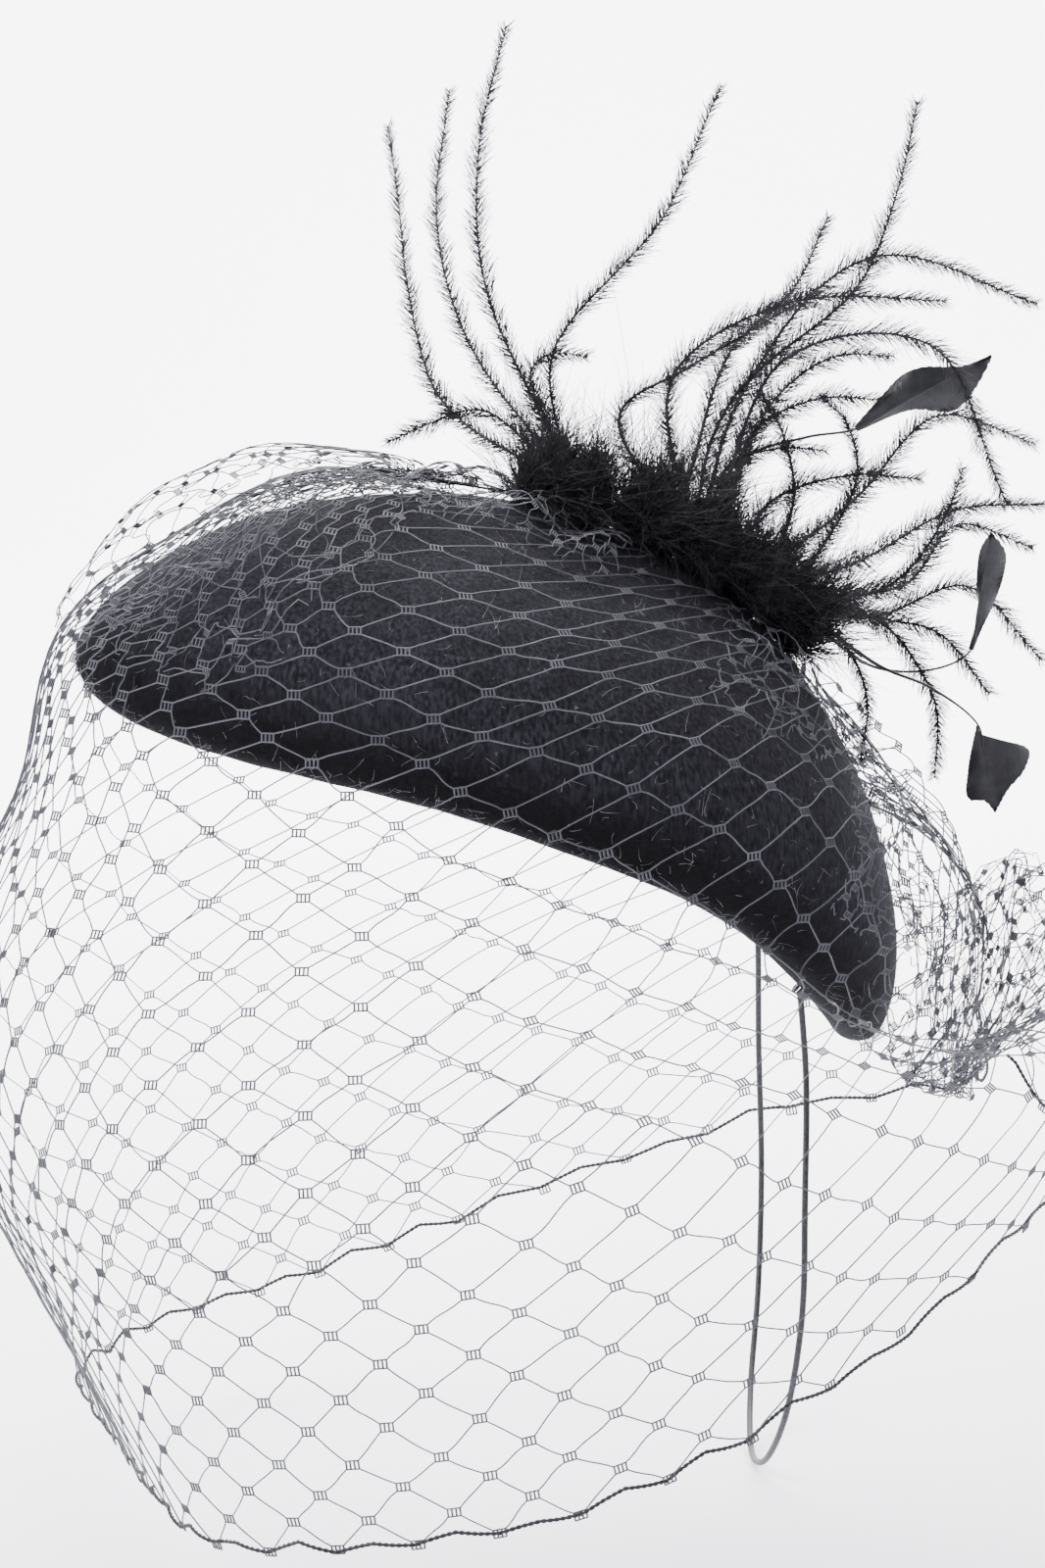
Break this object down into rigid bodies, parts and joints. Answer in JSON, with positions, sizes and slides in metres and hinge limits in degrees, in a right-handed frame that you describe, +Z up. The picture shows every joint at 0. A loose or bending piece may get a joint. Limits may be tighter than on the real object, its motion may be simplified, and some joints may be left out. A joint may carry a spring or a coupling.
{
  "type": "veiled percher hat with feathers",
  "caption": "Moulded felt percher hat, long and shallow, with an open net veil round the face, feather plumes, trimmed arrow feathers and an elastic loop.",
  "frame": {"origin": "the point inside the crown that rests on the top of the head", "axes": "+Z up as worn, the wearer's face towards -X, and the side that the hat tips down to towards -Y"},
  "size_m": [0.2679, 0.2387, 0.333],
  "materials": {
    "felt": "moulded wool felt, charcoal black, matt, with pale lint",
    "netting": "open knotted net, dark grey-violet yarn",
    "thread": "black twisted thread",
    "elastic": "black covered round elastic",
    "feather": "dyed black feather, thin stems with fine barbs"
  },
  "bodies": {
    "root": {"felt_crown": "felt", "veil_net": "netting", "hem_thread": "thread", "elastic": "elastic", "plume_front": "feather", "plume_back": "feather", "arrow_feather_1": "feather", "arrow_feather_2": "feather", "arrow_feather_3": "feather"}
  },
  "joints": []
}
